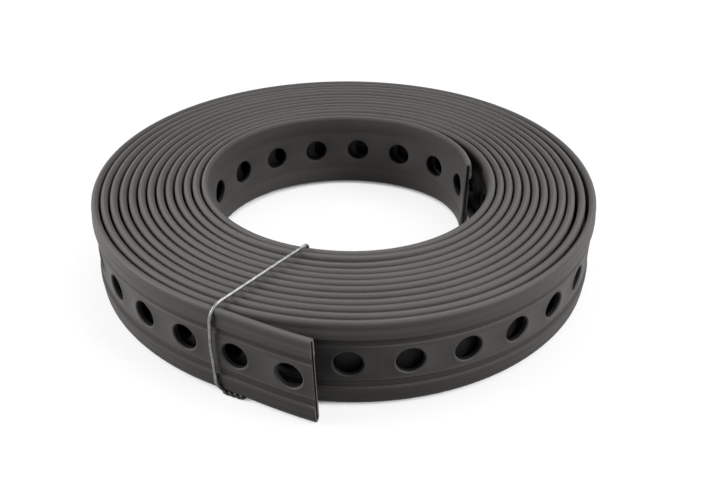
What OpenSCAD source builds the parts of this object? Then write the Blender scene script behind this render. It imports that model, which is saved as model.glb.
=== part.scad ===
// Tensioning strap: a coil of plastic-coated perforated steel band with a straight free
// end, tied with one galvanized wire. The coil lies flat, its axis upright along +Z, and
// the free end runs along +X on the -Y side. Millimetres.

/* [Coil] */

// width of the coated band, which is the height of the lying coil
band_w = 27; // [24:1:34]
// thickness of the coated band over its edge beads
band_t = 2.65; // [2.4:0.05:2.7]
// radial step from one turn to the next
turn_step = 2.83; // [2.8:0.01:3.1]
// radius of the outermost turn over its outer face, where the free end leaves
coil_r = 81.2; // [80:0.2:90]
// half turns in the coil between its first seam and the free end
half_turns = 25; // [19:2:27]
// angle of the short curl at the inner end
inner_arc = 57; // [50:1:60]
// radius of the short curl, which stands off the turn behind it
curl_r = 40; // [37:0.5:42]
// straight free end past the tangent point
tail_len = 32; // [31:0.5:40]

/* [Section] */

// depth of the flat web below the edge beads, each face
web_drop = 0.45; // [0.3:0.05:0.5]
// height of each edge bead
bead_h = 5.4; // [5:0.1:6]
// radius of the rounded corners of the edges
edge_r = 1.1; // [0.8:0.05:1.3]
// how far each fine ridge stands off the web
ridge_rise = 0.25; // [0.15:0.05:0.25]
// width of a fine ridge
ridge_w = 0.7; // [0.6:0.05:0.9]
// distance from bead to ridge
ridge_gap = 0.9; // [0.7:0.1:1.2]

/* [Steel band inside] */

// width of the steel band inside the plastic
core_w = 25.4; // [22:0.2:25.4]
// thickness of the steel band
core_t = 0.8; // [0.6:0.05:1]

/* [Holes] */

// diameter of each hole through the coated band
hole_d = 8; // [7:0.1:8.5]
// distance between hole centres along the band
hole_step = 16.16; // [15:0.02:20]
// distance from the cut outer end to the first hole centre
first_hole = 7.3; // [6.5:0.1:8]
// smallest distance of a hole centre from the cut inner end
last_hole = 6; // [5.5:0.5:8]

/* [Tie wire] */

// diameter of the tie wire
wire_d = 1.1; // [0.9:0.1:1.3]
// where the wire crosses the free end, past the tangent point
wire_x = 1.2; // [0:0.2:3]
// lean of the wire away from a straight line to the axis
wire_lean = 13; // [5:1:15]
// length of the twisted ends along the foot of the free end
twist_len = 9; // [7:1:14]

/* [Hidden] */

$fn = 96;

// half turn 0 is the outermost; even ones are on the -X side, odd ones on the +X side
wire_gap = 0.05;
foot_z = wire_d + wire_gap;
half_step = turn_step / 2;
web_z0 = bead_h;
web_z1 = band_w - bead_h;
web_mid = band_w / 2;
mid_r = coil_r - band_t / 2;
cut_reach = 4.5;
overshoot = 1;
turn_gap = turn_step - band_t;

// outer face radius of half turn k, its centre, and the run of band before it
function face_r(k) = k > half_turns - 1 ? curl_r : coil_r - k * half_step;
function centre_y(k) = k > half_turns - 1
    ? half_step + coil_r - k * half_step - curl_r
    : (k % 2) * half_step;
function run_to(k) = PI * (k * mid_r - half_step / 2 * k * (k - 1));
function arc_angle(k) = k > half_turns - 1 ? inner_arc : 180;
function arc_start(k) = k % 2 == 0 ? 90 : 90 - arc_angle(k);
function arc_top(k) = k % 2 == 0 ? 270 : 90;
function turn_of(u) = max([for (k = [0 : half_turns]) if (u >= run_to(k)) k]);

inner_run = (curl_r - band_t / 2) * PI * inner_arc / 180;
band_len = tail_len + run_to(half_turns) + inner_run;
hole_count = floor((band_len - last_hole - first_hole) / hole_step) + 1;

// the wire's loop stands in an upright plane through the free end and the eye
wire_r = wire_d / 2;
bend_r = edge_r + wire_r + wire_gap;
eye_wall_r = face_r(half_turns - 2) - band_t;
aim_b = wire_x * sin(wire_lean) - (coil_r + half_step) * cos(wire_lean);
aim_c = pow(wire_x, 2) + pow(coil_r + half_step, 2) - pow(eye_wall_r, 2);
wire_span = -aim_b - sqrt(pow(aim_b, 2) - aim_c);
loop_side = wire_r + 2 * wire_gap;
loop_low = wire_r;
loop_high = foot_z + band_w + wire_gap + wire_r;
twist_turns = 2;
twist_steps = 8;
twist_sides = 12;
// the strands bite into each other a little, so the twist is one closed solid
strand_out = 0.85 * wire_r;
twist_r = strand_out + wire_r;

// full section of the coated band, outer face at x = 0, foot at y = 0
module band_section() {
    difference() {
        rounded_bar();
        translate([-web_drop, web_z0])
            square([overshoot, web_z1 - web_z0]);
        translate([-band_t - overshoot, web_z0])
            square([overshoot + web_drop, web_z1 - web_z0]);
    }
    for (z = [web_z0 + ridge_gap, web_z1 - ridge_gap - ridge_w])
        translate([-web_drop - overshoot, z])
            square([overshoot + ridge_rise, ridge_w]);
}

module rounded_bar() {
    translate([-band_t, edge_r])
        square([band_t, band_w - 2 * edge_r]);
    translate([-band_t + edge_r, 0])
        square([band_t - 2 * edge_r, band_w]);
    for (x = [-band_t + edge_r, -edge_r])
        for (z = [edge_r, band_w - edge_r])
            translate([x, z])
                circle(r = edge_r);
}

// section of the steel band, in the middle of the plastic
module steel_section() {
    translate([-(band_t + core_t) / 2, (band_w - core_w) / 2])
        square([core_t, core_w]);
}

// sweeps a section round half turn k
module round_half(k) {
    translate([0, centre_y(k), foot_z])
        rotate_extrude(angle = arc_angle(k), start = arc_start(k))
            translate([face_r(k), 0])
                children();
}

// the straight free end along +X, from the tangent point
module straight_end() {
    translate([0, -coil_r, foot_z])
        rotate([90, 0, 90])
            linear_extrude(height = tail_len)
                mirror([1, 0])
                    children();
}

// one hole through the band, its centre at length s from the cut outer end
module hole_at(s) {
    if (s < tail_len)
        translate([tail_len - s, -mid_r, foot_z + web_mid])
            rotate([90, 0, 0])
                hole_tool();
    else
        hole_in_turn(turn_of(s - tail_len), s - tail_len);
}

module hole_in_turn(k, u) {
    a = (u - run_to(k)) / (face_r(k) - band_t / 2) * 180 / PI;
    translate([0, centre_y(k), foot_z + web_mid])
        rotate([0, 0, arc_top(k) - a])
            translate([face_r(k) - band_t / 2, 0, 0])
                rotate([0, 90, 0])
                    hole_tool();
}

module hole_tool() {
    cylinder(d = hole_d, h = band_t + turn_gap, center = true);
}

// holes whose centres lie between two lengths of band
module holes_between(s0, s1) {
    n0 = max(0, ceil((s0 - first_hole) / hole_step));
    n1 = min(hole_count - 1, floor((s1 - first_hole) / hole_step));
    if (n1 >= n0)
        for (n = [n0 : n1])
            hole_at(first_hole + n * hole_step);
}

// the section beneath this, wound through every half turn and out along the free end
module wound_band() {
    for (k = [0 : half_turns])
        difference() {
            round_half(k)
                children();
            holes_between(
                tail_len + run_to(k) - cut_reach,
                tail_len + run_to(k + 1) + cut_reach
            );
        }
    difference() {
        straight_end()
            children();
        holes_between(0, tail_len + cut_reach);
    }
}

module strap() {
    color("#4b4a47")
        wound_band()
            difference() {
                band_section();
                steel_section();
            }
}

module steel_band() {
    color("#8d9194")
        wound_band()
            steel_section();
}

// quarter bend of the wire about the origin, from +X round to +Y
module wire_bend() {
    rotate_extrude(angle = 90)
        translate([bend_r, 0])
            circle(r = wire_r);
}

// straight wire from the origin along +X
module wire_run(run) {
    rotate([0, 90, 0])
        cylinder(r = wire_r, h = run);
}

// closed loop round the section of the coil: x runs outwards, y up
module wire_loop() {
    x0 = -wire_span - loop_side;
    x1 = loop_side;
    for (y = [loop_low, loop_high])
        translate([x0 + bend_r, y, 0])
            wire_run(x1 - x0 - 2 * bend_r);
    for (x = [x0, x1])
        translate([x, loop_low + bend_r, 0])
            rotate([0, 0, 90])
                wire_run(loop_high - loop_low - 2 * bend_r);
    translate([x1 - bend_r, loop_high - bend_r, 0])
        wire_bend();
    translate([x0 + bend_r, loop_high - bend_r, 0])
        rotate([0, 0, 90])
            wire_bend();
    translate([x0 + bend_r, loop_low + bend_r, 0])
        rotate([0, 0, 180])
            wire_bend();
    translate([x1 - bend_r, loop_low + bend_r, 0])
        rotate([0, 0, 270])
            wire_bend();
}

// the two ends of the wire, twisted together along the foot of the free end
module twisted_ends() {
    translate([wire_x, -coil_r - wire_gap - twist_r, twist_r])
        rotate([90, 0, 90])
            linear_extrude(
                height = twist_len,
                twist = 360 * twist_turns,
                slices = twist_turns * twist_steps,
                $fn = twist_sides
            )
                for (side = [-1, 1])
                    translate([side * strand_out, 0])
                        circle(r = wire_r);
}

module tie_wire() {
    color("#b4b6b2") {
        translate([wire_x, -coil_r, 0])
            rotate([0, 0, -90 - wire_lean])
                rotate([90, 0, 0])
                    wire_loop();
        twisted_ends();
    }
}

strap();
steel_band();
tie_wire();
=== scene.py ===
# A lying coil of plastic-coated perforated steel band, tied with one galvanized wire.
import math

import bpy
from mathutils import Matrix, Vector


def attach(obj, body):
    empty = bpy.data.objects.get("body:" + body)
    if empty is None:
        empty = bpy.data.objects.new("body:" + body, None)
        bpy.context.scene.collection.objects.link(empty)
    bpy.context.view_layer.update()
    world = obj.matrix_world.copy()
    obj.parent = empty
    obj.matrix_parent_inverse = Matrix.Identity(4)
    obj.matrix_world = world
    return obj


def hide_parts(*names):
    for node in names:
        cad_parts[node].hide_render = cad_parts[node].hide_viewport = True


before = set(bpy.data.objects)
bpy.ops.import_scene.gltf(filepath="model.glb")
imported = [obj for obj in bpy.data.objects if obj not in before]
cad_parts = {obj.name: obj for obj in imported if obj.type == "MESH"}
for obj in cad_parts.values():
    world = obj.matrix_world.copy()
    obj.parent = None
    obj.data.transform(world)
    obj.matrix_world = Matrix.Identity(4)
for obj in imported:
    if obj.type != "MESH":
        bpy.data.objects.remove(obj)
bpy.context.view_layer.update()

MM = 0.001

# sizes of the band, the same as in the part's source
BAND_W = 27.0 * MM
BAND_T = 2.65 * MM
TURN_STEP = 2.83 * MM
COIL_R = 81.2 * MM
CURL_R = 40.0 * MM
HALF_TURNS = 25
FOOT_Z = 1.15 * MM
HOLE_STEP = 16.16 * MM
STEEL_W = 25.4 * MM
STEEL_T = 0.8 * MM

# sizes fitted more closely than in the source: the free end is 0.45 mm shorter with its first
# hole as much nearer the cut, the curl is 1.8 degrees longer, the edges are rounder and the
# wire is thinner
TAIL_LEN = 31.55 * MM
FIRST_HOLE = 6.85 * MM
CURL_ANGLE = 58.8
EDGE_R = 1.25 * MM
WIRE_R = 0.46 * MM
# share of its thickness that the band keeps at its outermost edges
EDGE_THIN = 0.84

HALF_T = BAND_T / 2
HALF_STEP = TURN_STEP / 2
MID_Z = FOOT_Z + BAND_W / 2
TOP_Z = FOOT_Z + BAND_W

# the lying coil has settled a little larger, and out of round in slow waves: how many times
# each goes round, its share of the radius, and the angle of a crest
LOOSE = 1.003
OUT_OF_ROUND = [(2, 0.0037, -45.0), (3, 0.0050, -42.3)]

# the inner turns are drawn in on the +X side, mm: the outermost of them, how much more at the
# deepest half turn, and how much less again at the innermost; then the angle and its reach
DRAWN_FIRST = 0.25
DRAWN_MORE = 0.9
DRAWN_LESS = 0.4
DRAWN_DEEPEST = 5
DRAWN_INNERMOST = HALF_TURNS - 2
DRAWN_AT = (15, 75)

# the turns stand unevenly, mm: the mean height, and waves of height, angle over the whole
# band and phase; then single half turns, each with its height, angle and reach
RIDE_MEAN = 0.10
RIDE_WAVES = [(0.09, 94.0, 0.6), (0.08, 151.0, 2.0)]
RIDE_BUMPS = [(21, 0.62, -65, 82), (22, 0.62, -65, 82),
              (20, 0.3, 180, 78), (22, 0.6, 180, 78), (24, 0.95, 180, 78)]

# the free end is bent in and dropped, and its cut slants along the band for each unit of width
TAIL_BEND = 1.4 * MM
TAIL_DROP = 0.45 * MM
CUT_ASKEW = -0.045

# the curl at the inner end has slipped further round, in degrees, sags in below an angle, as
# the square of the share of a span, and its last two points lean, in radians
CURL_SLIP = 2.3
END_SAG = 1.3 * MM
SAG_BELOW = 75.0
SAG_SPAN = 42.0
END_LEAN = (0.03, -0.01)

# by its end the second turn's holes stand this much further on than on a true spiral
SECOND_SHIFT = 4.1 * MM
SECOND_CELLS = 20

# edge of each face of the band, from the bead in to the flat web: distance from the
# middle line and height over the middle of the band, mm; fine ridges lie between
OUTER_RELIEF = [(11.7, 1.12), (11.35, 1.06), (10.75, 1.11), (10.35, 1.24), (9.2, 1.37),
                (8.95, 1.32), (8.75, 1.33), (8.5, 1.35), (8.0, 1.27), (7.72, 0.60),
                (5.85, 0.56), (5.55, 0.82), (5.35, 0.92), (5.15, 0.82)]
PLAIN_RELIEF = [(8.0, 1.27), (5.15, 0.82)]
INNER_RELIEF = [(8.0, 1.26), (7.4, 0.90)]
STEEL_RELIEF = [(6.35, 0.4)]
# cuts along a cell and across its web, and the frame of web between cells
FINE_SEGMENTS = 6
PLAIN_SEGMENTS = 4
STEEL_SEGMENTS = 2
WEB_ROWS = 6
FRAME = 0.2 * MM

# hole edges from the outer face to the inner face: radius and height, mm; the first and
# the last stand a hair off the web, because a bridge between level loops comes out crossed
FINE_RIM = [(4.7, 0.835), (4.5, 0.91), (4.25, 0.89), (4.03, 0.72), (3.92, 0.45),
            (3.9, 0.1), (3.9, -0.6), (4.05, -0.8), (4.35, -0.915)]
PLAIN_RIM = [(4.7, 0.835), (4.3, 0.80), (4.0, 0.45), (4.0, -0.6), (4.3, -0.915)]
STEEL_RIM = [(4.6, 0.415), (4.6, -0.415)]
# where the walls of the holes lie, which take painted shade: from the middle of the hole
# and of the band's thickness
WALL_REACH = 4.2 * MM
WALL_Y = (-0.75 * MM, 0.5 * MM)

# the steel stops short of each cut, in a slot of the plastic a hair larger than itself
STEEL_BACK = 0.3 * MM
SLOT_ROOM = 0.02 * MM
SLOT_DEPTH = 2 * MM

# points closer than this are one, a place is met within this, and a face looks along an axis
# when its normal has this share along it
TOUCH = 0.004 * MM
NEAR = 0.01 * MM
FACING = 0.9


# small helpers

def nothing_selected():
    if bpy.context.object and bpy.context.object.mode != "OBJECT":
        bpy.ops.object.mode_set(mode="OBJECT")
    bpy.ops.object.select_all(action="DESELECT")


def only(obj):
    """Object mode with just this object selected and active."""
    nothing_selected()
    obj.select_set(True)
    bpy.context.view_layer.objects.active = obj
    return obj


def named(name):
    """Names the object just added, and its mesh."""
    obj = bpy.context.object
    obj.name = name
    obj.data.name = name
    return obj


def pick(obj, kind, test):
    """Opens edit mode with those vertices, edges or faces selected that pass the test."""
    bpy.ops.object.mode_set(mode="EDIT")
    bpy.ops.mesh.select_mode(type=kind)
    bpy.ops.mesh.select_all(action="DESELECT")
    bpy.ops.object.mode_set(mode="OBJECT")
    mesh = obj.data
    if kind == "VERT":
        for vertex in mesh.vertices:
            vertex.select = test(vertex.co)
    elif kind == "EDGE":
        for edge in mesh.edges:
            a, b = (mesh.vertices[i].co for i in edge.vertices)
            edge.select = test(a, b)
    else:
        for face in mesh.polygons:
            face.select = test(face.center, face.normal)
    bpy.ops.object.mode_set(mode="EDIT")


def put_down(obj):
    """Applies the object's place, so it sits at the origin with its place in its mesh."""
    only(obj)
    bpy.ops.object.transform_apply(location=True, rotation=True, scale=True)
    return obj


def apply_modifier(obj, kind, **settings):
    only(obj)
    modifier = obj.modifiers.new(kind.title(), kind)
    for key, value in settings.items():
        setattr(modifier, key, value)
    bpy.ops.object.modifier_apply(modifier=modifier.name)
    return obj


def cut(point, normal, **how):
    """Cuts what is selected in edit mode by a plane."""
    bpy.ops.mesh.bisect(plane_co=point, plane_no=normal, **how)


def remove(*objs):
    nothing_selected()
    for obj in objs:
        obj.select_set(True)
    bpy.ops.object.delete()


def smooth_below(obj, degrees):
    """Smooth shading, but for edges sharper than that angle."""
    only(obj)
    bpy.ops.object.shade_smooth_by_angle(angle=math.radians(degrees))


def normals_out(obj):
    """Turns every face of a closed mesh outwards."""
    only(obj)
    bpy.ops.object.mode_set(mode="EDIT")
    bpy.ops.mesh.select_all(action="SELECT")
    bpy.ops.mesh.normals_make_consistent(inside=False)
    bpy.ops.object.mode_set(mode="OBJECT")


# the line that the band is wound along

def mid_radius(k):
    """Radius of the middle of the band in half turn k, 0 being the outermost."""
    return (CURL_R if k == HALF_TURNS else COIL_R - k * HALF_STEP) - HALF_T


def centre_y(k):
    """Where the upright axis of half turn k stands, on one of two lines or the curl's."""
    if k == HALF_TURNS:
        return HALF_STEP + COIL_R - k * HALF_STEP - CURL_R
    return (k % 2) * HALF_STEP


def half_turn_angle(k):
    """The curl's end has slipped a little further round than its length in the band."""
    return CURL_ANGLE + CURL_SLIP if k == HALF_TURNS else 180.0


def run_to(k):
    """Length of band between the free end's tangent point and half turn k."""
    return math.pi * sum(mid_radius(j) for j in range(k))


BAND_LEN = TAIL_LEN + run_to(HALF_TURNS) + mid_radius(HALF_TURNS) * math.radians(CURL_ANGLE)
CELLS = math.ceil((BAND_LEN - FIRST_HOLE + HOLE_STEP / 2) / HOLE_STEP)
# cells with full relief at the outer and the inner end
FINE_OUTER = 34
FINE_INNER = 21
# length of band up to the point behind the cut outer end, and of the innermost turn
FIRST_TURN = 488 * MM
LAST_TURN = 254 * MM


def bump_at(angle, centre, reach):
    """1 at the centre angle, fading smoothly to 0 at reach degrees on either side."""
    off = (angle - centre + 180) % 360 - 180
    return math.cos(math.radians(off / reach * 90)) ** 2 if abs(off) < reach else 0.0


def drawn_in(k, angle):
    """How far half turn k is drawn in there, which opens the gap behind it."""
    if k == HALF_TURNS:
        return END_SAG * max(0.0, (SAG_BELOW - angle) / SAG_SPAN) ** 2
    if k % 2 == 0:
        return 0.0
    more = min(1.0, (k - 1) / (DRAWN_DEEPEST - 1))
    less = max(0, k - DRAWN_DEEPEST) / (DRAWN_INNERMOST - DRAWN_DEEPEST)
    depth = DRAWN_FIRST + DRAWN_MORE * more - DRAWN_LESS * less
    return depth * MM * bump_at(angle, *DRAWN_AT)


def ride_height(k, angle, s):
    """How high half turn k stands there, s along the band, because turns wound by hand stand
    unevenly: one inside stands proud in front, and some are lifted on the -X side."""
    t = s / BAND_LEN
    wave = RIDE_MEAN + sum(height * math.sin(turn * t + phase)
                           for height, turn, phase in RIDE_WAVES)
    lifted = sum(height * bump_at(angle, centre, reach)
                 for number, height, centre, reach in RIDE_BUMPS if number == k)
    return (wave + lifted) * MM


def settled(x, y):
    """Where a point of the true spiral has come to lie."""
    angle = math.atan2(y, x)
    grown = LOOSE + sum(share * math.cos(n * (angle - math.radians(at)))
                        for n, share, at in OUT_OF_ROUND)
    return Vector((x * grown, y * grown, 0))


def on_coil(k, angle):
    """Point of the winding in half turn k, angle degrees round from +X."""
    a = math.radians(angle)
    r = mid_radius(k) - drawn_in(k, angle)
    top = 270.0 if k % 2 == 0 else 90.0
    s = TAIL_LEN + run_to(k) + mid_radius(k) * math.radians(top - angle)
    place = settled(r * math.cos(a), centre_y(k) + r * math.sin(a))
    return place + Vector((0, 0, MID_Z + ride_height(k, angle, s)))


def winding():
    """The line that the middle of the band follows, from the cut outer end inwards: a curve
    with a point every 30 degrees or so and the handles of an arc."""
    step = 30.0
    first = settled(TAIL_LEN, HALF_T - COIL_R + TAIL_BEND)
    first.z = MID_Z - TAIL_DROP
    stops = []
    for k in range(HALF_TURNS + 1):
        whole = half_turn_angle(k)
        parts = max(1, round(whole / step))
        top = 270.0 if k % 2 == 0 else 90.0
        for i in range(parts + (k == HALF_TURNS)):
            angle = top - whole * i / parts
            along = (on_coil(k, angle - 1) - on_coil(k, angle + 1)) / math.radians(2)
            hand = along * 4 / 3 * math.tan(math.radians(whole / parts) / 4)
            stops.append((on_coil(k, angle), hand))
    data = bpy.data.curves.new("winding", "CURVE")
    data.dimensions = "3D"
    data.twist_mode = "Z_UP"
    data.resolution_u = 10
    spline = data.splines.new("BEZIER")
    spline.bezier_points.add(len(stops))
    third = Vector((-TAIL_LEN / 3, 0, 0))
    stops.insert(0, (first, third - Vector((0, TAIL_BEND * 2 / 3, 0))))
    for point, (place, hand) in zip(spline.bezier_points, stops):
        point.handle_left_type = point.handle_right_type = "FREE"
        point.co = place
        point.handle_left = place - hand
        point.handle_right = place + hand
    spline.bezier_points[1].handle_left = stops[1][0] - third
    spline.bezier_points[-2].tilt, spline.bezier_points[-1].tilt = END_LEAN
    obj = bpy.data.objects.new("winding", data)
    bpy.context.collection.objects.link(obj)
    return obj


def wind(obj, line):
    """Bends the flat band round the winding. First its length is fitted to the line's: the
    outermost turn grows with the coil, the second shifts its holes, and the hidden turns
    past them take up what is left, because the drawn-in turns are shorter."""
    outer = FIRST_HOLE + (FINE_OUTER - 0.5) * HOLE_STEP - TAIL_LEN
    second = SECOND_CELLS * HOLE_STEP
    rest = (CELLS - FINE_INNER - FINE_OUTER - SECOND_CELLS) * HOLE_STEP
    ease = 1 + SECOND_SHIFT / second
    spare = (line.data.splines[0].calc_length() - BAND_LEN - SECOND_SHIFT
             - outer * (LOOSE - 1))
    fit = 1 + spare / rest
    start = TAIL_LEN + outer * LOOSE
    turn = start + second * ease
    only(obj)
    for at, scale in ((TAIL_LEN, LOOSE), (start, ease / LOOSE), (turn, fit / ease),
                      (turn + rest * fit, 1 / fit)):
        pick(obj, "VERT", lambda p: p.x > at + TOUCH)
        bpy.ops.transform.resize(value=(scale, 1, 1), center_override=(at, 0, 0))
        bpy.ops.object.mode_set(mode="OBJECT")
    return apply_modifier(obj, "CURVE", object=line, deform_axis="POS_X")


# one hole's length of band

def rim_rings(obj, rings, centre, sides):
    """The hole: a circle at the outer web, drawn through the band ring by ring."""
    first_r, first_y = rings[0]
    bpy.ops.object.mode_set(mode="EDIT")
    bpy.ops.mesh.select_all(action="DESELECT")
    bpy.ops.mesh.primitive_circle_add(
        vertices=sides, radius=first_r, location=(centre, first_y, 0),
        rotation=(math.radians(90), 0, 0))
    for (r0, y0), (r1, y1) in zip(rings, rings[1:]):
        bpy.ops.mesh.extrude_edges_move(TRANSFORM_OT_translate={"value": (0, y1 - y0, 0)})
        bpy.ops.transform.resize(value=(r1 / r0, 1, r1 / r0), center_override=(centre, y1, 0))
    bpy.ops.object.mode_set(mode="OBJECT")


def bridge_web(obj, ring, centre, frame_x, frame_z):
    """Joins the frame of the web to the hole's ring on the same face."""
    ring_r, side_y = ring

    def on_loop(p):
        if abs(p.y - side_y) > 2 * NEAR:
            return False
        dx, dz = abs(p.x - centre), abs(p.z)
        on_ring = abs(math.hypot(dx, dz) - ring_r) < 3 * NEAR
        on_side = abs(dx - frame_x) < NEAR and dz < frame_z + NEAR
        on_end = abs(dz - frame_z) < NEAR and dx < frame_x + NEAR
        return on_ring or on_side or on_end

    pick(obj, "EDGE", lambda a, b: on_loop(a) and on_loop(b))
    bpy.ops.mesh.bridge_edge_loops()
    bpy.ops.object.mode_set(mode="OBJECT")


def band_cell(name, segments, rings, thick, width, edge_r, outer, inner):
    """One hole's length of band, flat, open at both ends, x along the band. outer and
    inner list the relief of each face in mm: distance from the middle line, height."""
    nothing_selected()
    bpy.ops.mesh.primitive_cube_add(size=1, location=(HOLE_STEP / 2, 0, 0),
                                    scale=(HOLE_STEP, thick, width))
    obj = put_down(named(name))
    pick(obj, "FACE", lambda c, n: abs(n.x) > FACING)
    bpy.ops.mesh.delete(type="ONLY_FACE")
    if edge_r:
        pick(obj, "EDGE", lambda a, b: abs(a.x - b.x) > HOLE_STEP / 2)
        bpy.ops.mesh.bevel(offset=edge_r, segments=4, profile=0.5, affect="EDGES")
    for i in range(1, segments):
        bpy.ops.mesh.select_all(action="SELECT")
        cut((HOLE_STEP * i / segments, 0, 0), (1, 0, 0))
    for sign, relief in ((1, outer), (-1, inner)):
        for z, y in relief:
            for end in (-1, 1):
                pick(obj, "FACE", lambda c, n: n.y * sign > FACING)
                cut((0, 0, end * z * MM), (0, 0, 1))
        for z, y in relief:
            level = z * MM
            pick(obj, "VERT", lambda p: p.y * sign > 0 and abs(abs(p.z) - level) < NEAR)
            bpy.ops.transform.translate(value=(0, sign * (y * MM - thick / 2), 0))
            bpy.ops.object.mode_set(mode="OBJECT")
    if edge_r:
        pick(obj, "VERT", lambda p: abs(p.z) > width / 2 - edge_r - TOUCH)
        bpy.ops.transform.resize(value=(1, EDGE_THIN, 1), center_override=(0, 0, 0))
        bpy.ops.object.mode_set(mode="OBJECT")
    rings = [(r * MM, y * MM) for r, y in rings]
    for sign, relief in ((1, outer), (-1, inner)):
        half = relief[-1][0] * MM

        def on_web(c, n):
            return c.y * sign > 0 and abs(c.z) < half and abs(n.y) > FACING

        for i in range(1, WEB_ROWS):
            pick(obj, "FACE", on_web)
            cut((0, 0, -half + 2 * half * i / WEB_ROWS), (0, 0, 1))
        pick(obj, "FACE", on_web)
        bpy.ops.mesh.inset(thickness=FRAME, use_boundary=True, use_even_offset=True)
        bpy.ops.mesh.delete(type="FACE")
    bpy.ops.object.mode_set(mode="OBJECT")
    rim_rings(obj, rings, HOLE_STEP / 2, 2 * (segments + WEB_ROWS))
    for relief, ring in ((outer, rings[0]), (inner, rings[-1])):
        bridge_web(obj, ring, HOLE_STEP / 2, HOLE_STEP / 2 - FRAME, relief[-1][0] * MM - FRAME)
    return obj


def run_of_cells(cell, first, count, name):
    """A flat run of cells, from hole number first, in place along the band."""
    only(cell)
    bpy.ops.object.duplicate()
    run = named(name)
    apply_modifier(
        run, "ARRAY", count=count, use_relative_offset=False, use_constant_offset=True,
        constant_offset_displace=(HOLE_STEP, 0, 0), use_merge_vertices=True,
        merge_threshold=TOUCH)
    run.location.x = FIRST_HOLE - HOLE_STEP / 2 + first * HOLE_STEP
    return put_down(run)


def plain_border(run, cell_number):
    """Takes the fine ridges' points out of a fine run's border, to meet a plain run."""
    at = FIRST_HOLE - HOLE_STEP / 2 + cell_number * HOLE_STEP
    dropped = [z * MM for z, y in OUTER_RELIEF if (z, y) not in PLAIN_RELIEF]

    def extra(p):
        on_relief = any(abs(abs(p.z) - level) < TOUCH for level in dropped)
        return abs(p.x - at) < TOUCH and p.y > 0 and on_relief

    only(run)
    pick(run, "VERT", extra)
    bpy.ops.mesh.dissolve_verts()
    bpy.ops.object.mode_set(mode="OBJECT")


def joined(pieces, name):
    """Joins runs of band end to end, and merges the points where they meet."""
    nothing_selected()
    for piece in pieces:
        piece.select_set(True)
    bpy.context.view_layer.objects.active = pieces[0]
    bpy.ops.object.join()
    obj = named(name)
    bpy.ops.object.mode_set(mode="EDIT")
    bpy.ops.mesh.select_all(action="SELECT")
    bpy.ops.mesh.remove_doubles(threshold=TOUCH)
    bpy.ops.object.mode_set(mode="OBJECT")
    return obj


def cut_square(obj, start, end):
    """Cuts the flat band at both ends, the outer one a little askew, and closes the cuts."""
    for at, toward, askew in ((start, 1, CUT_ASKEW), (end, -1, 0.0)):
        only(obj)
        bpy.ops.object.mode_set(mode="EDIT")
        bpy.ops.mesh.select_mode(type="VERT")
        bpy.ops.mesh.select_all(action="SELECT")
        cut((at, 0, 0), (toward, 0, askew), clear_inner=True, use_fill=True)
        bpy.ops.object.mode_set(mode="OBJECT")


def slot_for_steel(obj):
    """Opens each cut end where the steel strip shows in the middle of the plastic."""
    half_t = STEEL_T / 2 + SLOT_ROOM
    half_w = STEEL_W / 2 + SLOT_ROOM
    for at, inward in ((0.0, 1), (BAND_LEN, -1)):

        def on_cut(c, n):
            return abs(c.x - at) < STEEL_W * abs(CUT_ASKEW) and abs(n.x) > FACING

        def on_slot(c, n):
            return on_cut(c, n) and abs(c.y) < half_t and abs(c.z) < half_w

        for point, normal in (((0, half_t, 0), (0, 1, 0)), ((0, -half_t, 0), (0, 1, 0)),
                              ((0, 0, half_w), (0, 0, 1)), ((0, 0, -half_w), (0, 0, 1))):
            pick(obj, "FACE", on_cut)
            cut(point, normal)
        pick(obj, "FACE", on_slot)
        bpy.ops.mesh.extrude_region_move(
            TRANSFORM_OT_translate={"value": (inward * SLOT_DEPTH, 0, 0)})
        bpy.ops.object.mode_set(mode="OBJECT")


def fade(value, none, full):
    """0 at none, 1 at full, straight between them."""
    return min(1.0, max(0.0, (value - none) / (full - none)))


# painted shade, from 0 none to 1 full: under a turn, under the two innermost,
# in a groove, at the foot, and on the inner face
UNDER_TURN = 0.91
UNDER_INNERMOST = 1.0
IN_GROOVE = 0.34
AT_FOOT = 0.38
ON_INNER_FACE = 0.36
# where that painted shade changes: along the band, at its first turn, where it paints the free
# end's shadow, its free end and its last turn, and from where the two innermost turns cover it
OUTER_FADE = (FIRST_TURN - 10 * MM, FIRST_TURN + 16 * MM)
TAIL_FADE = (34 * MM, 60 * MM)
INNER_FADE = (BAND_LEN - LAST_TURN + 12 * MM, BAND_LEN - LAST_TURN - 2 * MM)
INNERMOST_FROM = BAND_LEN - 2.1 * LAST_TURN
# and across it, mm from its middle line: the groove and the height it stays under, the foot,
# and the edge of the painted shade, which leaves the bead past it unshaded like the rest
GROOVE = (5.7, 7.8)
GROOVE_TOP = 0.7
FOOT_FADE = (7.8, 9.0)
BEAD_FADE = (8.6, 8.1)


def mark_painted_shade(obj):
    """Keeps how much painted shade each point takes: under a turn, in a groove, at the foot."""
    amounts = []
    for vertex in obj.data.vertices:
        s = vertex.co.x
        p = vertex.co / MM
        if p.y > 0:
            covered = UNDER_INNERMOST if s > INNERMOST_FROM else UNDER_TURN
            covered *= fade(s, *OUTER_FADE)
            groove = IN_GROOVE if GROOVE[0] < abs(p.z) < GROOVE[1] and p.y < GROOVE_TOP else 0.0
            groove += fade(-p.z, *FOOT_FADE) * AT_FOOT
        else:
            covered = fade(s, *TAIL_FADE) * fade(s, *INNER_FADE)
            groove = ON_INNER_FACE
        covered *= fade(abs(p.z), *BEAD_FADE)
        amounts.append(max(covered, groove))
    layer = obj.data.attributes.new("painted_shade", "FLOAT", "POINT")
    layer.data.foreach_set("value", amounts)


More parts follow.
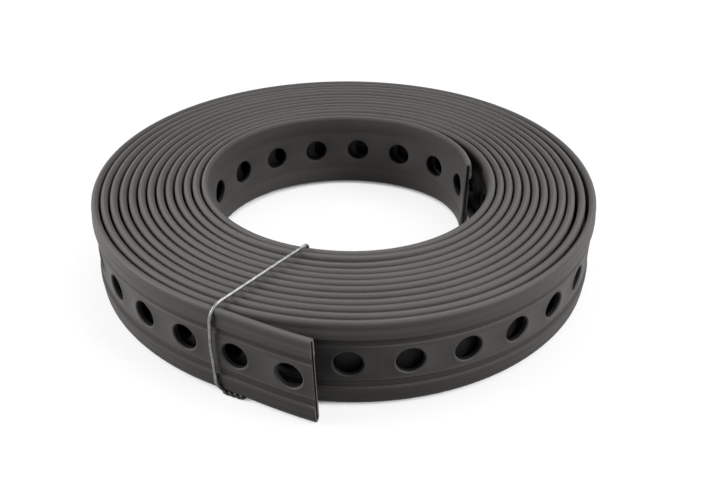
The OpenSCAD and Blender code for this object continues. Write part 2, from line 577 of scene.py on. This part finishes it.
def lay_flat_uv(obj):
    """Keeps each point's place on the flat band: metres along it, and round its section,
    where depth counts more than width, so that lines don't smear on steep sides."""
    depth_share = 1.7
    mesh = obj.data
    layer = mesh.uv_layers.new(name="flat")
    for loop in mesh.loops:
        p = mesh.vertices[loop.vertex_index].co
        layer.data[loop.index].uv = (p.x, p.z + depth_share * p.y)


def coated_band():
    """The whole plastic coat: fine cells where its faces show, plainer ones between turns."""
    fine = band_cell("fine_cell", FINE_SEGMENTS, FINE_RIM, BAND_T, BAND_W, EDGE_R,
                     OUTER_RELIEF, INNER_RELIEF)
    plain = band_cell("plain_cell", PLAIN_SEGMENTS, PLAIN_RIM, BAND_T, BAND_W, EDGE_R,
                      PLAIN_RELIEF, INNER_RELIEF)
    last = CELLS - FINE_INNER
    outer_run = run_of_cells(fine, 0, FINE_OUTER, "outer_run")
    middle_run = run_of_cells(plain, FINE_OUTER, last - FINE_OUTER, "middle_run")
    inner_run = run_of_cells(fine, last, FINE_INNER, "inner_run")
    plain_border(outer_run, FINE_OUTER)
    plain_border(inner_run, last)
    remove(fine, plain)
    band = joined([outer_run, middle_run, inner_run], "strap_coat")
    cut_square(band, 0.0, BAND_LEN)
    normals_out(band)
    slot_for_steel(band)
    lay_flat_uv(band)
    # painted shade between the turns, in the grooves, at the foot and on the inner face
    mark_painted_shade(band)
    return band


def steel_strip():
    """The perforated steel strip inside, which shows at the two cut ends."""
    cell = band_cell("steel_cell", STEEL_SEGMENTS, STEEL_RIM, STEEL_T, STEEL_W, 0,
                     STEEL_RELIEF, STEEL_RELIEF)
    strip = run_of_cells(cell, 0, CELLS, "steel_strip")
    remove(cell)
    cut_square(strip, STEEL_BACK, BAND_LEN - STEEL_BACK)
    normals_out(strip)
    lay_flat_uv(strip)
    return strip


# the tie wire

# the outer face at the free end's tangent point, and how far along the wire stands from there
FACE_Y = settled(0, -COIL_R).y
WIRE_ASIDE = 0.55 * MM
# the middle line of the twist, and how far each strand lies off it, as a share of its radius
TWIST_FROM = Vector((3.9 * MM, FACE_Y + 0.4 * MM, 0.95 * MM))
TWIST_TO = Vector((10.2 * MM, FACE_Y + 0.75 * MM, 0.92 * MM))
TWIST_TURNS = 1.8
TWIST_STEPS = 16
STRAND_OUT = 0.72
# how far the wire stands off the outer face, and over the rims in front and at the eye
FACE_GAP = 0.08 * MM
FRONT_GAP = 0.3 * MM
BACK_GAP = 0.85 * MM
# bends of the wire: round the foot and the wall of the eye, at the top in front, where it
# leaves the twist, and its long slow bow up the face
TIGHT_BEND = 1.5 * MM
TOP_BEND = 4.4 * MM
ROOT_BEND = 3.2 * MM
BOW = 40 * MM
BEND_STEPS = 10


def rounded_path(corners):
    """Points along a line through the corners, each turned with its own bend radius."""
    points = [corners[0][0]]
    for (before, _), (corner, bend), (after, _) in zip(corners, corners[1:], corners[2:]):
        back = (before - corner).normalized()
        ahead = (after - corner).normalized()
        half = back.angle(ahead) / 2
        inset = bend / math.tan(half)
        centre = corner + (back + ahead).normalized() * bend / math.sin(half)
        start = (corner + back * inset - centre).normalized()
        end = (corner + ahead * inset - centre).normalized()
        for i in range(BEND_STEPS + 1):
            points.append(centre + start.slerp(end, i / BEND_STEPS) * bend)
    points.append(corners[-1][0])
    return points


def strand(phase):
    """One strand of the twist from its root to its cut end, a helix."""
    steps = round(TWIST_TURNS * TWIST_STEPS)
    spread = WIRE_R * STRAND_OUT
    points = []
    for i in range(steps + 1):
        turn = phase + 2 * math.pi * TWIST_TURNS * i / steps
        across = Vector((0, -spread * math.sin(turn), spread * math.cos(turn)))
        points.append(TWIST_FROM.lerp(TWIST_TO, i / steps) + across)
    return points


def tie_wire():
    """One wire round the section of the coil, its two ends twisted at the foot."""
    face = FACE_Y - WIRE_R - FACE_GAP
    aside = Vector((WIRE_ASIDE, 0, 0))
    over_front = TOP_Z + FRONT_GAP + WIRE_R
    over_back = TOP_Z + BACK_GAP + WIRE_R
    inner = Vector((9.8 * MM, -44.2 * MM, 0))
    upper = strand(0.0)
    lower = strand(math.pi)
    corners = [
        (upper[0], 0),
        (Vector((2.3 * MM, face, 3.6 * MM)), ROOT_BEND),
        (Vector((1.6 * MM, face, 17.0 * MM)), BOW),
        (Vector((2.5 * MM, face - 0.2 * MM, over_front + 0.2 * MM)), TOP_BEND),
        (inner + Vector((0, 0, over_back)), TIGHT_BEND),
        (inner + Vector((-0.2 * MM, 0, WIRE_R)), TIGHT_BEND),
        (Vector((2.2 * MM, FACE_Y + 2.0 * MM, WIRE_R)), TIGHT_BEND),
        (lower[0], 0),
    ]
    path = upper[:0:-1] + rounded_path(corners) + lower[1:]
    path = [place + aside for place in path]
    data = bpy.data.curves.new("tie_wire_run", "CURVE")
    data.dimensions = "3D"
    data.bevel_depth = WIRE_R
    data.bevel_resolution = 5
    data.use_fill_caps = True
    spline = data.splines.new("POLY")
    spline.points.add(len(path) - 1)
    for point, place in zip(spline.points, path):
        point.co = (*place, 1)
    obj = bpy.data.objects.new("galvanized_tie", data)
    bpy.context.collection.objects.link(obj)
    only(obj)
    bpy.ops.object.convert(target="MESH")
    wire = named("galvanized_tie")
    normals_out(wire)
    smooth_below(wire, 50)
    return wire


# materials

# sockets of a colour mix: its two colours and its result
COLOUR_A = 6
COLOUR_B = 7
MIXED = 2
PVC_IOR = 1.53


def rgb(hex_code):
    """sRGB hex colour to linear red, green, blue and alpha."""
    parts = [int(hex_code[i:i + 2], 16) / 255 for i in (0, 2, 4)]
    return (*[c / 12.92 if c < 0.04045 else ((c + 0.055) / 1.055) ** 2.4 for c in parts], 1)


def node(tree, kind, links=None, stops=(), **settings):
    """Adds a node. A setting names a property, or else an input; links gives its inputs, and
    stops the positions and colours of its colour ramp."""
    new = tree.nodes.new(kind)
    for key, value in settings.items():
        if hasattr(new, key):
            setattr(new, key, value)
        else:
            new.inputs[key.replace("_", " ")].default_value = value
    for key, source in (links or {}).items():
        tree.links.new(source, new.inputs[key])
    if stops:
        elements = new.color_ramp.elements
        while len(elements) < len(stops):
            elements.new(0.5)
        for element, (position, colour) in zip(elements, stops):
            element.position = position
            element.color = rgb(colour)
    return new


def finish_of(name):
    """A new material: its node tree and its surface shader, joined to the output."""
    mat = bpy.data.materials.new(name)
    mat.use_nodes = True
    tree = mat.node_tree
    tree.nodes.clear()
    shader = tree.nodes.new("ShaderNodeBsdfPrincipled")
    out = tree.nodes.new("ShaderNodeOutputMaterial")
    tree.links.new(shader.outputs["BSDF"], out.inputs["Surface"])
    return mat, tree, shader


def extruded_pvc():
    """Soft PVC drawn through a die round the steel: dull, with fine lines along the band
    and slow changes of grey from the mix. Where one turn lies against another, and in the
    grooves, painted shade mixes it toward near black. The real grain is under 0.1 mm, and
    is drawn as coarse as it needs to show."""
    line_length = 166.7 * MM
    line_spacing = 0.6667 * MM
    cloud_size = 22.22 * MM
    grain_size = 0.3846 * MM
    mat, tree, shader = finish_of("extruded_pvc")
    flat = node(tree, "ShaderNodeUVMap", uv_map="flat")
    lines = node(tree, "ShaderNodeMapping", {"Vector": flat.outputs["UV"]},
                 Scale=(1 / line_length, 1 / line_spacing, 1))
    die = node(tree, "ShaderNodeTexNoise", {"Vector": lines.outputs["Vector"]},
               Scale=1.0, Detail=2.0, Roughness=0.6)
    place = node(tree, "ShaderNodeTexCoord")
    cloud = node(tree, "ShaderNodeTexNoise", {"Vector": place.outputs["Object"]},
                 Scale=1 / cloud_size, Detail=4.0, Roughness=0.55)
    grain = node(tree, "ShaderNodeTexNoise", {"Vector": place.outputs["Object"]},
                 Scale=1 / grain_size, Detail=2.0, Roughness=0.6)
    tone = node(tree, "ShaderNodeMath", {0: die.outputs["Fac"], 1: cloud.outputs["Fac"]},
                operation="ADD")
    half = node(tree, "ShaderNodeMath", {0: tone.outputs["Value"]}, operation="MULTIPLY")
    half.inputs[1].default_value = 0.5
    colour = node(tree, "ShaderNodeValToRGB", {"Fac": half.outputs["Value"]},
                  stops=[(0.30, "504e4c"), (0.50, "565452"), (0.70, "5c5a57")])
    # painted shade: the colour is mixed toward near black where the attribute marks shade
    painted_shade = node(tree, "ShaderNodeAttribute", attribute_name="painted_shade")
    shaded_colour = node(tree, "ShaderNodeMix",
                {"Factor": painted_shade.outputs["Fac"], COLOUR_A: colour.outputs["Color"]},
                data_type="RGBA")
    shaded_colour.inputs[COLOUR_B].default_value = rgb("0c0b0b")
    tree.links.new(shaded_colour.outputs[MIXED], shader.inputs["Base Color"])
    rough = node(tree, "ShaderNodeMapRange", {"Value": cloud.outputs["Fac"]},
                 From_Min=0.3, From_Max=0.7, To_Min=0.46, To_Max=0.60)
    tree.links.new(rough.outputs["Result"], shader.inputs["Roughness"])
    shader.inputs["IOR"].default_value = PVC_IOR
    shader.inputs["Specular IOR Level"].default_value = 0.12
    fine = node(tree, "ShaderNodeBump", {"Height": grain.outputs["Fac"]},
                Strength=0.25, Distance=0.06 * MM)
    drawn = node(tree, "ShaderNodeBump",
                 {"Height": die.outputs["Fac"], "Normal": fine.outputs["Normal"]},
                 Strength=0.2, Distance=0.04 * MM)
    tree.links.new(drawn.outputs["Normal"], shader.inputs["Normal"])
    return mat


def cut_pvc():
    """The same PVC sheared across: paler where the blade stressed it, roughly torn."""
    tear_size = 0.9091 * MM
    mat, tree, shader = finish_of("sheared_pvc")
    place = node(tree, "ShaderNodeTexCoord")
    torn = node(tree, "ShaderNodeTexNoise", {"Vector": place.outputs["Object"]},
                Scale=1 / tear_size, Detail=4.0, Roughness=0.65)
    colour = node(tree, "ShaderNodeValToRGB", {"Fac": torn.outputs["Fac"]},
                  stops=[(0.35, "54524c"), (0.52, "65625a"), (0.70, "827d70")])
    tree.links.new(colour.outputs["Color"], shader.inputs["Base Color"])
    shader.inputs["Roughness"].default_value = 0.62
    shader.inputs["IOR"].default_value = PVC_IOR
    rough = node(tree, "ShaderNodeBump", {"Height": torn.outputs["Fac"]},
                 Strength=0.6, Distance=0.2 * MM)
    tree.links.new(rough.outputs["Normal"], shader.inputs["Normal"])
    return mat


def punched_wall():
    """The wall of each hole: nearly black and dull, a painted shade so the holes look deep."""
    grain_size = 0.7143 * MM
    mat, tree, shader = finish_of("hole_wall_painted_shade")
    place = node(tree, "ShaderNodeTexCoord")
    grain = node(tree, "ShaderNodeTexNoise", {"Vector": place.outputs["Object"]},
                 Scale=1 / grain_size, Detail=3.0, Roughness=0.6)
    # painted shade: the walls are coloured nearly black
    colour = node(tree, "ShaderNodeValToRGB", {"Fac": grain.outputs["Fac"]},
                  stops=[(0.35, "0d0c0c"), (0.52, "131211"), (0.70, "1c1a19")])
    tree.links.new(colour.outputs["Color"], shader.inputs["Base Color"])
    shader.inputs["Roughness"].default_value = 0.7
    shader.inputs["IOR"].default_value = PVC_IOR
    shader.inputs["Specular IOR Level"].default_value = 0.2
    rough = node(tree, "ShaderNodeBump", {"Height": grain.outputs["Fac"]},
                 Strength=0.4, Distance=0.1 * MM)
    tree.links.new(rough.outputs["Normal"], shader.inputs["Normal"])
    return mat


def sheared_steel():
    """Galvanized strip, sheared, with smeared zinc at the cut, which is coloured nearly black
    as painted shade.
    """
    smear_length = 16.67 * MM
    smear_spacing = 0.4545 * MM
    mat, tree, shader = finish_of("sheared_galvanized_strip")
    flat = node(tree, "ShaderNodeUVMap", uv_map="flat")
    lines = node(tree, "ShaderNodeMapping", {"Vector": flat.outputs["UV"]},
                 Scale=(1 / smear_length, 1 / smear_spacing, 1))
    smear = node(tree, "ShaderNodeTexNoise", {"Vector": lines.outputs["Vector"]},
                 Scale=1.0, Detail=3.0, Roughness=0.6)
    # painted shade: the cut is coloured far darker than bare steel
    colour = node(tree, "ShaderNodeValToRGB", {"Fac": smear.outputs["Fac"]},
                  stops=[(0.35, "1c1a19"), (0.60, "2a2826"), (0.80, "45423e")])
    tree.links.new(colour.outputs["Color"], shader.inputs["Base Color"])
    shader.inputs["Metallic"].default_value = 0.85
    shader.inputs["Roughness"].default_value = 0.5
    bump = node(tree, "ShaderNodeBump", {"Height": smear.outputs["Fac"]},
                Strength=0.4, Distance=0.1 * MM)
    tree.links.new(bump.outputs["Normal"], shader.inputs["Normal"])
    return mat


def drawn_zinc_wire():
    """Soft steel wire drawn and hot galvanized: bright satin zinc, faintly mottled, and
    darker towards the foot, where the twist is coloured with painted shade."""
    mottle_size = 1.4286 * MM
    shade_below = 2.2 * MM
    unshaded_above = 5.0 * MM
    mat, tree, shader = finish_of("hot_galvanized_wire")
    place = node(tree, "ShaderNodeTexCoord")
    mottle = node(tree, "ShaderNodeTexNoise", {"Vector": place.outputs["Object"]},
                  Scale=1 / mottle_size, Detail=3.0, Roughness=0.6)
    colour = node(tree, "ShaderNodeValToRGB", {"Fac": mottle.outputs["Fac"]},
                  stops=[(0.35, "6b6c68"), (0.52, "80817c"), (0.70, "92938d")])
    # painted shade: the colour darkens towards the foot of the twist
    level = node(tree, "ShaderNodeSeparateXYZ", {"Vector": place.outputs["Object"]})
    out_of_shade = node(tree, "ShaderNodeMapRange", {"Value": level.outputs["Z"]},
                 From_Min=shade_below, From_Max=unshaded_above, To_Min=0.15, To_Max=1.0)
    foot_shaded = node(tree, "ShaderNodeMix",
                  {"Factor": out_of_shade.outputs["Result"], COLOUR_B: colour.outputs["Color"]},
                  data_type="RGBA")
    foot_shaded.inputs[COLOUR_A].default_value = rgb("111210")
    tree.links.new(foot_shaded.outputs[MIXED], shader.inputs["Base Color"])
    shader.inputs["Metallic"].default_value = 0.9
    rough = node(tree, "ShaderNodeMapRange", {"Value": mottle.outputs["Fac"]},
                 From_Min=0.3, From_Max=0.7, To_Min=0.30, To_Max=0.48)
    tree.links.new(rough.outputs["Result"], shader.inputs["Roughness"])
    bump = node(tree, "ShaderNodeBump", {"Height": mottle.outputs["Fac"]},
                Strength=0.3, Distance=0.05 * MM)
    tree.links.new(bump.outputs["Normal"], shader.inputs["Normal"])
    return mat


# floor, background and lights

def seen_white(tree):
    """1 for the camera's, glossy and transmission rays, which see the ground as white."""
    path = node(tree, "ShaderNodeLightPath")
    first = node(tree, "ShaderNodeMath", {0: path.outputs["Is Camera Ray"],
                 1: path.outputs["Is Glossy Ray"]}, operation="MAXIMUM")
    both = node(tree, "ShaderNodeMath", {0: first.outputs["Value"],
                1: path.outputs["Is Transmission Ray"]}, operation="MAXIMUM")
    return both.outputs["Value"]


def floor():
    """Pale to the camera, with the coil's soft shadow, and dark where it is closed in under
    the coil or in a gap; light that bounces off it is weak."""
    nothing_selected()
    bpy.ops.mesh.primitive_plane_add(size=2.4, location=(0, 0, 0))
    ground = put_down(named("floor"))
    mat, tree, shader = finish_of("pale_paper_floor")
    shader.inputs["Roughness"].default_value = 0.9
    shader.inputs["Specular IOR Level"].default_value = 0.1
    seen = seen_white(tree)
    colour = node(tree, "ShaderNodeMix", {"Factor": seen}, data_type="RGBA")
    colour.inputs[COLOUR_A].default_value = rgb("333332")
    colour.inputs[COLOUR_B].default_value = rgb("fbfbfa")
    tree.links.new(colour.outputs[MIXED], shader.inputs["Base Color"])
    white = node(tree, "ShaderNodeEmission", Strength=1.0, Color=(1, 1, 1, 1))
    near = node(tree, "ShaderNodeAmbientOcclusion", Distance=10 * MM, samples=8)
    free = node(tree, "ShaderNodeMapRange", {"Value": near.outputs["AO"]},
                From_Min=0.08, From_Max=0.30, To_Min=0.0, To_Max=0.82)
    share = node(tree, "ShaderNodeMath", {0: seen, 1: free.outputs["Result"]},
                 operation="MULTIPLY")
    both = node(tree, "ShaderNodeMixShader", {"Fac": share.outputs["Value"]})
    tree.links.new(shader.outputs["BSDF"], both.inputs[1])
    tree.links.new(white.outputs["Emission"], both.inputs[2])
    out = next(n for n in tree.nodes if n.type == "OUTPUT_MATERIAL")
    tree.links.new(both.outputs["Shader"], out.inputs["Surface"])
    ground.data.materials.append(mat)


def backdrop():
    """A white world for what the camera sees, a soft grey one for what lights the coil."""
    world = bpy.data.worlds.new("studio")
    world.use_nodes = True
    tree = world.node_tree
    tree.nodes.clear()
    lit = node(tree, "ShaderNodeBackground", Strength=0.035, Color=(1, 1, 1, 1))
    white = node(tree, "ShaderNodeBackground", Strength=1.0, Color=(1, 1, 1, 1))
    mixed = node(tree, "ShaderNodeMixShader", {"Fac": seen_white(tree)})
    tree.links.new(lit.outputs["Background"], mixed.inputs[1])
    tree.links.new(white.outputs["Background"], mixed.inputs[2])
    node(tree, "ShaderNodeOutputWorld", {"Surface": mixed.outputs["Shader"]})
    bpy.context.scene.world = world


def soft_light(name, place, target, size, watts):
    """A rectangular lamp that faces the target."""
    light = bpy.data.lights.new(name, "AREA")
    light.shape = "RECTANGLE"
    light.size, light.size_y = size
    light.energy = watts
    obj = bpy.data.objects.new(name, light)
    obj.location = place
    obj.rotation_euler = (Vector(target) - Vector(place)).to_track_quat("-Z", "Y").to_euler()
    bpy.context.collection.objects.link(obj)


def camera():
    """The photo's view: from the front right, 32 degrees down, tilted half a degree."""
    data = bpy.data.cameras.new("view")
    data.sensor_width = 36
    data.lens = 43.14
    data.clip_start = 0.01
    obj = bpy.data.objects.new("view", data)
    obj.location = Vector((115.17, -221.36, 160.52)) * MM
    aim = Vector((12.36, -15.21, 15.0)) * MM
    turned = (aim - obj.location).to_track_quat("-Z", "Y")
    roll = Matrix.Rotation(math.radians(0.56), 3, "Z").to_quaternion()
    obj.rotation_euler = (turned @ roll).to_euler()
    bpy.context.collection.objects.link(obj)
    bpy.context.scene.camera = obj


def dress(piece, nodes):
    """Puts a piece on the body, in place of its CAD nodes, which it hides."""
    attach(piece, "root")
    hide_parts(*nodes)


def give(piece, *materials):
    for mat in materials:
        piece.data.materials.append(mat)


def mark_flat(band):
    """On the flat band, the cut ends take the second material, but for the smeared outer
    skin of the outer end, and the holes' walls the third, which is painted shade."""
    for face in band.data.polygons:
        c = face.center
        at_outer_cut = c.x < SLOT_DEPTH
        on_cut = abs(face.normal.x) > 0.99 and (at_outer_cut or c.x > BAND_LEN - TOUCH)
        in_hole = abs(c.z) < WALL_REACH and WALL_Y[0] < c.y < WALL_Y[1]
        if on_cut:
            face.material_index = 0 if at_outer_cut and c.y > STEEL_T / 2 else 1
        # the holes' walls take the painted shade material
        elif in_hole and 0 < c.x < BAND_LEN:
            face.material_index = 2


camera()
line = winding()
coat = coated_band()
give(coat, extruded_pvc(), cut_pvc(), punched_wall())
mark_flat(coat)
strip = steel_strip()
give(strip, sheared_steel())
for piece in (coat, strip):
    wind(piece, line)
    smooth_below(piece, 35)
remove(line)
wire = tie_wire()
give(wire, drawn_zinc_wire())

dress(coat, ["strap"])
dress(strip, ["steel_band"])
dress(wire, ["tie_wire"])

floor()
backdrop()
middle = (0.0, 0.0, 0.01)
soft_light("overhead", (0.0, 0.22, 0.7), middle, (0.7, 0.5), 4.2)
soft_light("left_side", (-0.54, -0.38, 0.33), middle, (0.4, 0.35), 5.4)
soft_light("right_side", (0.60, 0.02, 0.42), middle, (0.4, 0.35), 4.4)

bpy.context.scene.view_settings.view_transform = "Standard"
